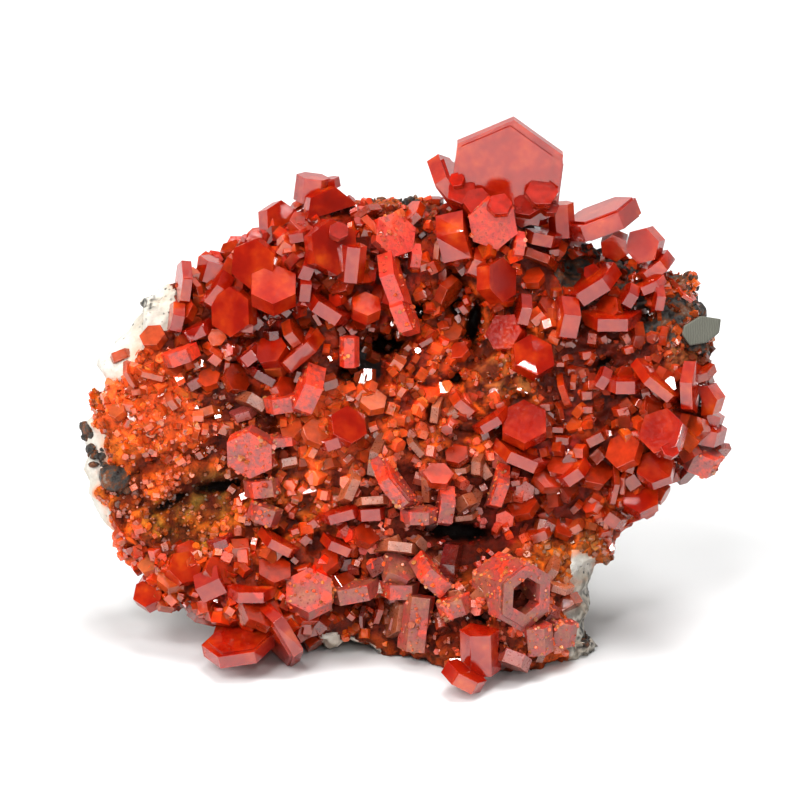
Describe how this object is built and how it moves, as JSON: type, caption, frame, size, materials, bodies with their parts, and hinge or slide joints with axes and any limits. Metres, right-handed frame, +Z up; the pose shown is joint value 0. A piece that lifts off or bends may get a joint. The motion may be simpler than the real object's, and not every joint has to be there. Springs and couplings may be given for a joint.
{
  "type": "vanadinite on matrix",
  "caption": "Mineral specimen: red hexagonal vanadinite crystals, part of them coated, over druse crusts on a white baryte matrix with a flat cut base.",
  "frame": {"origin": "on the surface that the specimen stands on, under the middle of its bounding box", "axes": "+Z up, +X to the right across the crystal-bearing face, which looks towards -Y and leans back 20 degrees"},
  "size_m": [0.0656, 0.0318, 0.052],
  "materials": {
    "baryte": "rough white to cream stone with black specks",
    "manganese_oxide": "dull black, knobbly",
    "coral_druse": "sparkling crust of fine coral-orange crystals",
    "mustard_crust": "rough mustard-yellow crust",
    "brown_druse": "dark red-brown crust of fine crystals",
    "tan_crust": "rough tan and peach crust",
    "red_druse": "sparkling crust of fine deep-red crystals",
    "vanadinite": "glossy, deep red-orange, partly see-through",
    "coated_vanadinite": "frosted, dusky salmon to mauve, dull"
  },
  "bodies": {
    "root": {"baryte_matrix": "baryte", "corner_hexagon": "vanadinite", "crown_cluster": "vanadinite", "crown_lower_hexagon": "coated_vanadinite", "crust_brown_field": "brown_druse", "crust_coral_lobe": "coral_druse", "crust_coral_middle": "coral_druse", "crust_manganese_corner": "manganese_oxide", "crust_mustard_trench": "mustard_crust", "crust_orange_saddle": "coral_druse", "crust_orange_toe": "coral_druse", "crust_red_mound": "red_druse", "crust_tan_ridge": "tan_crust", "hollow_hexagon": "coated_vanadinite", "left_bars": "vanadinite", "left_bars_2": "vanadinite", "left_brown_block": "coated_vanadinite", "mauve_column": "coated_vanadinite", "middle_coated_slab": "coated_vanadinite", "middle_frosted_block": "coated_vanadinite", "middle_low_bars": "vanadinite", "middle_lowest_bar": "vanadinite", "middle_mauve_tablet": "coated_vanadinite", "middle_orange_tablet": "vanadinite", "middle_right_bar": "vanadinite", "middle_right_tablet": "vanadinite", "middle_upright_bar": "coated_vanadinite", "mound_cluster": "vanadinite", "mound_cluster_2": "vanadinite", "mound_diagonal_bar": "vanadinite", "mound_double_bar": "coated_vanadinite", "mound_low_tablet": "vanadinite", "mound_peak": "vanadinite", "mound_peak_left": "vanadinite", "right_bars": "vanadinite", "right_bars_2": "vanadinite", "right_field_bar": "vanadinite", "right_hanging_tablet": "vanadinite", "right_inner_bar": "vanadinite", "right_low_prism": "coated_vanadinite", "right_low_tablet": "vanadinite", "right_rose_hexagon": "vanadinite", "saddle_tablets": "vanadinite", "shoulder_tablet": "vanadinite", "toe_coated_column": "coated_vanadinite", "toe_coral_block": "coated_vanadinite", "toe_front_tablet": "vanadinite", "toe_gemmy_prism": "vanadinite", "toe_left_barrel": "vanadinite", "toe_left_rosette": "vanadinite", "toe_orange_block": "coated_vanadinite", "toe_salmon_block": "coated_vanadinite", "toe_upper_bar": "vanadinite"}
  },
  "joints": []
}
